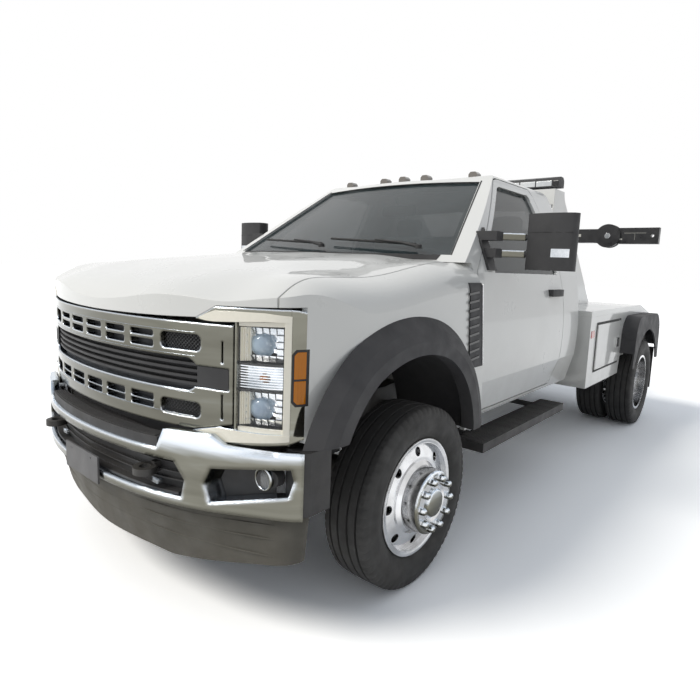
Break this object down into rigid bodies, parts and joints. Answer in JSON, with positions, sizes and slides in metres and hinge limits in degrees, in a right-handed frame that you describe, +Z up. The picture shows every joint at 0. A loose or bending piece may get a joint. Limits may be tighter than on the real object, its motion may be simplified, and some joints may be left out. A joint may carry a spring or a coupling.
{
  "type": "tow truck",
  "caption": "Light tow truck: regular cab, dual rear wheels, deck with tool boxes, light bar pylon and a folding wheel lift with swinging claws.",
  "frame": {"origin": "on the ground under the middle of the truck", "axes": "+Z up, front towards -Y, the truck's left side towards +X"},
  "size_m": [2.6802, 5.5563, 2.1578],
  "materials": {
    "white_paint": "gloss white paint",
    "black_frame": "satin black chassis paint",
    "polished": "polished bright metal",
    "alloy": "machined and polished alloy",
    "black_plastic": "grained black plastic",
    "grey_plastic": "grained grey plastic",
    "tyre_rubber": "tyre rubber",
    "flap_rubber": "black rubber",
    "window": "tinted glass",
    "lamp_lens": "clear lamp lens",
    "amber_lens": "amber lens",
    "seat_cloth": "woven seat cloth",
    "cast_steel": "cast and machined steel",
    "bright_rod": "hard chrome rod"
  },
  "bodies": {
    "truck": {"air_dam": "black_plastic", "bumper_trim": "black_plastic", "cab_glass": "window", "cab_shell": "white_paint", "chassis_frame": "black_frame", "cowl_panel": "black_plastic", "dashboard": "grey_plastic", "engine_gearbox": "cast_steel", "exhaust": "cast_steel", "front_axle": "black_frame", "front_bumper": "polished", "front_flares": "black_plastic", "front_wings": "white_paint", "fuel_tank": "black_plastic", "grille": "polished", "grille_mesh": "black_plastic", "headlamps": "lamp_lens", "leaf_springs": "black_frame", "lift_mount": "black_frame", "light_bar": "amber_lens", "mud_flaps": "flap_rubber", "plate_bracket": "black_plastic", "pylon": "white_paint", "rear_axle": "black_frame", "rear_flares": "black_plastic", "road_lamps": "lamp_lens", "roof_lamps": "amber_lens", "running_boards": "alloy", "seat_bench": "seat_cloth", "tool_boxes": "white_paint", "tow_body": "white_paint", "tow_hooks": "black_frame", "wheel_liners": "black_plastic"},
    "door_left": {"door_left": "white_paint", "door_left_glass": "window", "mirror_left": "black_plastic", "door_handle_left": "black_plastic"},
    "door_right": {"door_right": "white_paint", "door_right_glass": "window", "mirror_right": "black_plastic", "door_handle_right": "black_plastic"},
    "hood": {"hood": "white_paint"},
    "box_door_left": {"box_door_left": "white_paint"},
    "box_door_right": {"box_door_right": "white_paint"},
    "knuckle_left": {"knuckle_left": "cast_steel"},
    "knuckle_right": {"knuckle_right": "cast_steel"},
    "wheel_front_left": {"rim_front_left": "alloy", "tyre_front_left": "tyre_rubber"},
    "wheel_front_right": {"rim_front_right": "alloy", "tyre_front_right": "tyre_rubber"},
    "wheels_rear_left": {"rims_rear_left": "alloy", "tyres_rear_left": "tyre_rubber"},
    "wheels_rear_right": {"rims_rear_right": "alloy", "tyres_rear_right": "tyre_rubber"},
    "lift_boom": {"lift_boom": "black_frame"},
    "crossbar": {"crossbar": "black_frame"},
    "claw_left": {"claw_left": "black_frame"},
    "claw_right": {"claw_right": "black_frame"},
    "lift_cylinder": {"lift_cylinder": "black_frame"},
    "lift_rod": {"lift_rod": "bright_rod"}
  },
  "joints": [
    {"name": "door_left_swing", "type": "hinge", "parent": "truck", "child": "door_left", "pos_m": [1.006, -1.248, 1.1], "axis": [0, 0, -1], "range_deg": [0, 65]},
    {"name": "door_right_swing", "type": "hinge", "parent": "truck", "child": "door_right", "pos_m": [-1.006, -1.248, 1.1], "axis": [0, 0, 1], "range_deg": [0, 65]},
    {"name": "hood_lift", "type": "hinge", "parent": "truck", "child": "hood", "pos_m": [0, -1.411, 1.488], "axis": [-1, 0, 0], "range_deg": [0, 50]},
    {"name": "box_door_left_swing", "type": "hinge", "parent": "truck", "child": "box_door_left", "pos_m": [1.0853, 0.61, 0.85], "axis": [0, 0, -1], "range_deg": [0, 100]},
    {"name": "box_door_right_swing", "type": "hinge", "parent": "truck", "child": "box_door_right", "pos_m": [-1.0853, 0.61, 0.85], "axis": [0, 0, 1], "range_deg": [0, 100]},
    {"name": "steer_left", "type": "hinge", "parent": "truck", "child": "knuckle_left", "pos_m": [0.835, -1.795, 0.405], "axis": [0, 0, 1], "range_deg": [-32, 32]},
    {"name": "steer_right", "type": "hinge", "parent": "truck", "child": "knuckle_right", "pos_m": [-0.835, -1.795, 0.405], "axis": [0, 0, 1], "range_deg": [-32, 32]},
    {"name": "wheel_front_left_spin", "type": "hinge", "parent": "knuckle_left", "child": "wheel_front_left", "pos_m": [0.95, -1.795, 0.405], "axis": [1, 0, 0], "continuous": true},
    {"name": "wheel_front_right_spin", "type": "hinge", "parent": "knuckle_right", "child": "wheel_front_right", "pos_m": [-0.95, -1.795, 0.405], "axis": [1, 0, 0], "continuous": true},
    {"name": "wheels_rear_left_spin", "type": "hinge", "parent": "truck", "child": "wheels_rear_left", "pos_m": [1.071, 1.896, 0.405], "axis": [1, 0, 0], "continuous": true},
    {"name": "wheels_rear_right_spin", "type": "hinge", "parent": "truck", "child": "wheels_rear_right", "pos_m": [-1.071, 1.896, 0.405], "axis": [1, 0, 0], "continuous": true},
    {"name": "lift_fold", "type": "hinge", "parent": "truck", "child": "lift_boom", "pos_m": [0, 2.605, 0.56], "axis": [-1, 0, 0], "range_deg": [0, 98]},
    {"name": "stinger_slide", "type": "slide", "parent": "lift_boom", "child": "crossbar", "axis": [0, 0, 1], "range_m": [0, 0.5]},
    {"name": "claw_left_swing", "type": "hinge", "parent": "crossbar", "child": "claw_left", "pos_m": [0.553, 2.705, 1.84], "axis": [0, -1, 0], "range_deg": [0, 90]},
    {"name": "claw_right_swing", "type": "hinge", "parent": "crossbar", "child": "claw_right", "pos_m": [-0.553, 2.705, 1.84], "axis": [0, 1, 0], "range_deg": [0, 90]},
    {"name": "cylinder_swing", "type": "hinge", "parent": "truck", "child": "lift_cylinder", "pos_m": [0, 1.905, 0.772], "axis": [-1, 0, 0], "range_deg": [-11.7, 1]},
    {"name": "rod_slide", "type": "slide", "parent": "lift_cylinder", "child": "lift_rod", "axis": [0, 0.9758, -0.2186], "range_m": [0, 0.3189]}
  ],
  "couplings": [
    {"joint": "steer_right", "follows": "steer_left", "ratio": 1},
    {"joint": "cylinder_swing", "follows": "lift_fold", "ratio": -0.10914},
    {"joint": "rod_slide", "follows": "lift_fold", "m_per_rad": 0.18413}
  ]
}
